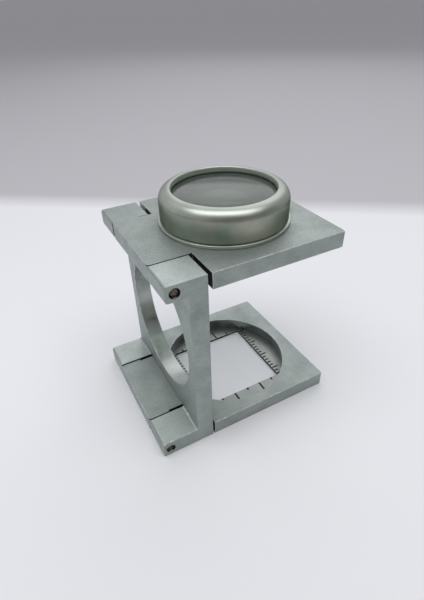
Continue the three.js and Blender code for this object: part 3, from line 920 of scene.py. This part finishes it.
def make_barrel():
    """Spigot through the plate, flange on it, threaded neck, and the lens seat inside."""
    low, high = box_mm("lens_barrel")
    plate_top = top_high.z
    spigot = 11.0
    flange_radius = high.y
    flange_bottom = plate_top + 0.02
    flange_top = plate_top + 0.65
    flange_chamfer = 0.05
    flange_round = 0.15
    relief = 0.3                 # plain neck between the flange and the thread
    root = spigot - 0.3          # radius between the thread's ridges
    thread_pitch = 0.55
    neck_end = high.z - 0.2
    bore = 10.3
    seat_top = plate_top - 0.7
    seat_bottom = seat_top - 0.8
    profile = [(spigot, low.z), (spigot, flange_bottom), (flange_radius - flange_chamfer, flange_bottom)]
    flange_corner = (flange_radius - flange_round, flange_top - flange_round)
    profile += arc(flange_corner, flange_round, 0, 90, 5)
    height = flange_top + relief
    profile += [(root, flange_top), (root, height)]
    while height + thread_pitch <= neck_end:
        profile += [(spigot, height + thread_pitch / 2), (root, height + thread_pitch)]
        height += thread_pitch
    profile += [(root, high.z), (bore, high.z), (bore, seat_top)]
    profile += [(LENS_SEAT_RADIUS, seat_top), (LENS_SEAT_RADIUS, seat_bottom), (bore, low.z)]
    barrel = turned("threaded_barrel", profile, BORE_STEPS, (axis_x, 0, 0))
    dress(barrel, turned_finish)
    complete(barrel, "lens_holder", "lens_barrel")


def make_lens(name, node, glass):
    """Biconvex lens with a ground edge and a small bevel at each rim."""
    low, high = box_mm(node)
    radius = high.y
    middle = (low.z + high.z) / 2
    curvature = 81.0
    bevel = 0.12
    rings = 28

    def sag(distance):
        """How far the dome falls at a distance from the lens axis."""
        return curvature - math.sqrt(curvature ** 2 - distance ** 2)

    distances = [(radius - bevel) * ring / rings for ring in range(rings + 1)]
    upper = [(distance, high.z - sag(distance)) for distance in distances]
    upper.append((radius, high.z - sag(radius) - bevel))
    lower = [(distance, 2 * middle - height) for distance, height in reversed(upper)]
    lens = turned(name, upper + lower, BORE_STEPS, (axis_x, 0, 0))
    dress(lens, glass)
    complete(lens, "lens_holder", node)


def ring_profile(inner, outer, low, high, rounding):
    """Section of a plain ring whose four edges are rounded."""
    return [
        *arc((outer - rounding, low + rounding), rounding, -90, 0, 3),
        *arc((outer - rounding, high - rounding), rounding, 0, 90, 3),
        *arc((inner + rounding, high - rounding), rounding, 90, 180, 3),
        *arc((inner + rounding, low + rounding), rounding, 180, 270, 3),
    ]


def make_ring(name, node, inner, materials):
    """A plain ring with softened edges, to the size of its CAD node."""
    low, high = box_mm(node)
    profile = ring_profile(inner, high.y, low.z, high.z, RING_ROUND)
    ring = turned(name, profile, BORE_STEPS, (axis_x, 0, 0))
    dress(ring, materials)
    complete(ring, "lens_holder", node)


def make_lock_ring():
    """Ring nut under the lens plate, with two spanner slots."""
    low, high = box_mm("barrel_lock_ring")
    inner = BARREL_SEAT_RADIUS
    slot_half = 0.6
    slot_top = low.z + 0.5
    profile = [(inner, low.z), (high.y, low.z), (high.y, high.z), (inner, high.z)]
    ring = turned("spanner_ring", profile, BORE_STEPS, (axis_x, 0, 0))
    slots = []
    for side in (-1, 1):
        near, far = sorted((side * (inner - MARGIN), side * (high.y + MARGIN)))
        slots.append(block((axis_x - slot_half, near, low.z - MARGIN), (axis_x + slot_half, far, slot_top)))
    dress(ring, black_finish * 2)        # the roundings' slot is the second one
    cut(ring, slots)
    soften(ring, LOCK_RING_EDGE_ROUND)
    complete(ring, "lens_holder", "barrel_lock_ring")


# ---------- hinges ----------

def round_box(node):
    """Radius of a node that is round about Y, its place on X and Z, and its two ends on Y."""
    low, high = box_mm(node)
    centre = ((low.x + high.x) / 2, 0, (low.z + high.z) / 2)
    return (high.x - low.x) / 2, centre, low.y, high.y


def make_pin(node):
    """Drawn pin with rounded ends."""
    radius, centre, front, rear = round_box(node)
    rounding = 0.16
    profile = [(0, front)]
    profile += arc((radius - rounding, front + rounding), rounding, -90, 0, 5)
    profile += arc((radius - rounding, rear - rounding), rounding, 0, 90, 5)
    profile += [(0, rear)]
    pin = turned("drawn_" + node, profile, PIN_STEPS, centre, along="Y")
    dress(pin, pin_finish)
    complete(pin, "upright", node)


def make_washer(node, body):
    """Spring washer that fills its seat in the tongue."""
    radius, centre, front, rear = round_box(node)
    profile = ring_profile(PIN_HOLE_RADIUS, radius, front, rear, WASHER_ROUND)
    washer = turned("pressed_" + node, profile, PIN_STEPS, centre, along="Y")
    dress(washer, spring_finish)
    complete(washer, body, node)


# ---------- stage, light and camera ----------

CAMERA_AZIMUTH = math.radians(-27.478)
CAMERA_ELEVATION = math.radians(36.397)
CAMERA_ROLL = math.radians(-1.655)
CAMERA_DISTANCE = 92.5
CAMERA_LENS = 24.97
CAMERA_AIM = Vector((2.28, 4.03, -5.13))               # from the middle of the object
SENSOR_WIDTH = 36
CLIP_START = 1.0

PAPER_SIZE = 60000.0         # so wide that its far edge lies at the horizon
PAPER_TURN = math.radians(-7)          # grey part's edge, from straight across the view
GREY_START = 89.0            # behind the object the white turns to grey from here
GREY_END = 103.0             # to here
PAPER_WHITE = rgb(0.80, 0.81, 0.84)
PAPER_WHITEST = rgb(0.84, 0.85, 0.88)
PAPER_GREY = rgb(0.52, 0.515, 0.545)

ROOM_FRONT = rgb(0.175, 0.17, 0.155)
ROOM_BACK = rgb(0.60, 0.60, 0.63)
FRONT_END = -0.9             # Y of the directions where the room's front tone ends
BACK_START = 0.5             # and where its back tone starts


def make_floor():
    """A wide white surface that turns pale grey some way behind the object."""
    bm = bmesh.new()
    bmesh.ops.create_grid(bm, x_segments=1, y_segments=1, size=PAPER_SIZE * METRES)
    floor = add_object("floor", bm)
    shader = Shader("floor_paper", {"Roughness": 0.75, "Specular IOR Level": 0.2})
    azimuth = CAMERA_AZIMUTH + PAPER_TURN
    heading = (-math.sin(azimuth), math.cos(azimuth), 0)
    depth = shader.node("ShaderNodeVectorMath", {0: shader.coordinates, 1: heading},
                        operation="DOT_PRODUCT").outputs["Value"]
    near = shader.blend(shader.noise(60.0, detail=3.0), PAPER_WHITE, PAPER_WHITEST)
    far = shader.ramp(depth, GREY_START * METRES, GREY_END * METRES)
    shader.feed("Base Color", shader.blend(far, near, PAPER_GREY))
    dress(floor, [shader.material])


def make_world():
    """Soft room light: pale behind the object and overhead, dimmer from the camera's side."""
    world = bpy.data.worlds.new("room")
    bpy.context.scene.world = world
    world.use_nodes = True
    room = Nodes(world.node_tree)
    direction = room.node("ShaderNodeTexCoord").outputs["Generated"]
    depth = room.node("ShaderNodeSeparateXYZ", {"Vector": direction}).outputs["Y"]
    place = room.ramp(depth, FRONT_END, BACK_START, interpolation_type="SMOOTHSTEP")
    tone = room.blend(place, ROOM_FRONT, ROOM_BACK)
    room.tree.links.new(tone, room.tree.nodes["Background"].inputs["Color"])


def make_flag():
    """A dark card where the photographer stands: lenses and metal see it, the camera doesn't."""
    low = Vector((-95, -175, 92)) * METRES
    high = Vector((45, -84, 94)) * METRES
    corners = [(low.x, low.y), (high.x, low.y), (high.x, high.y), (low.x, high.y)]
    flag = prism("flag", corners, low.z, high.z)
    dress(flag, [matt_black("flag_card", rgb(0.2, 0.185, 0.16), metallic=0.0, rough=0.8)])
    flag.visible_camera = False
    flag.visible_shadow = False


def area_light(name, place_mm, aim_mm, size_mm, power):
    """A rectangular lamp that looks at aim_mm."""
    light = bpy.data.lights.new(name, "AREA")
    light.shape = "RECTANGLE"
    light.size = size_mm[0] * METRES
    light.size_y = size_mm[1] * METRES
    light.energy = power
    lamp = bpy.data.objects.new(name, light)
    lamp.location = Vector(place_mm) * METRES
    facing = Vector(aim_mm) * METRES - lamp.location
    lamp.rotation_euler = facing.to_track_quat("-Z", "Y").to_euler()
    bpy.context.scene.collection.objects.link(lamp)


def make_camera():
    """A camera that looks at its target from CAMERA_DISTANCE, turned about that line by its roll."""
    middle = (cad_low + cad_high) / 2 / METRES
    target = middle + CAMERA_AIM
    back = Vector((
        math.sin(CAMERA_AZIMUTH) * math.cos(CAMERA_ELEVATION),
        -math.cos(CAMERA_AZIMUTH) * math.cos(CAMERA_ELEVATION),
        math.sin(CAMERA_ELEVATION),
    ))
    right = Z_AXIS.cross(back).normalized()
    up = back.cross(right)
    roll = Matrix.Rotation(CAMERA_ROLL, 3, back)
    camera = bpy.data.objects.new("camera", bpy.data.cameras.new("camera"))
    turn = Matrix((roll @ right, roll @ up, back)).transposed().to_4x4()
    camera.matrix_world = Matrix.Translation((target + back * CAMERA_DISTANCE) * METRES) @ turn
    camera.data.lens = CAMERA_LENS
    camera.data.sensor_width = SENSOR_WIDTH
    camera.data.clip_start = CLIP_START * METRES
    bpy.context.scene.collection.objects.link(camera)
    bpy.context.scene.camera = camera


# ---------- assembly ----------

make_camera()
make_floor()
make_world()
make_flag()
area_light("overhead", place_mm=(-35, -60, 420), aim_mm=(0, 0, 20), size_mm=(600, 250), power=1.15)
area_light("rear_softbox", place_mm=(280, 330, 370), aim_mm=(0, 0, 25), size_mm=(480, 400), power=0.5)
bpy.context.scene.view_settings.view_transform = "Standard"

make_base()
make_scale_plate()
make_marks()
make_upright()
make_lens_plate()
make_barrel()
make_bezel()
make_lock_ring()
make_lens("ground_eye_lens", "eye_lens", eye_glass)
make_lens("ground_field_lens", "field_lens", field_glass)
make_ring("bezel_seal", "bezel_gasket", BEZEL_SEAL_BORE, rubber_finish)
make_ring("seat_seal", "seat_gasket", LENS_SEAT_RADIUS, rubber_finish)
make_ring("spacer_tube", "lens_spacer", SPACER_BORE, black_finish)
for place in ("front", "rear"):
    make_pin("base_hinge_pin_" + place)
    make_pin("lens_hinge_pin_" + place)
    make_washer("base_hinge_washer_" + place, "base")
    make_washer("lens_hinge_washer_" + place, "lens_holder")
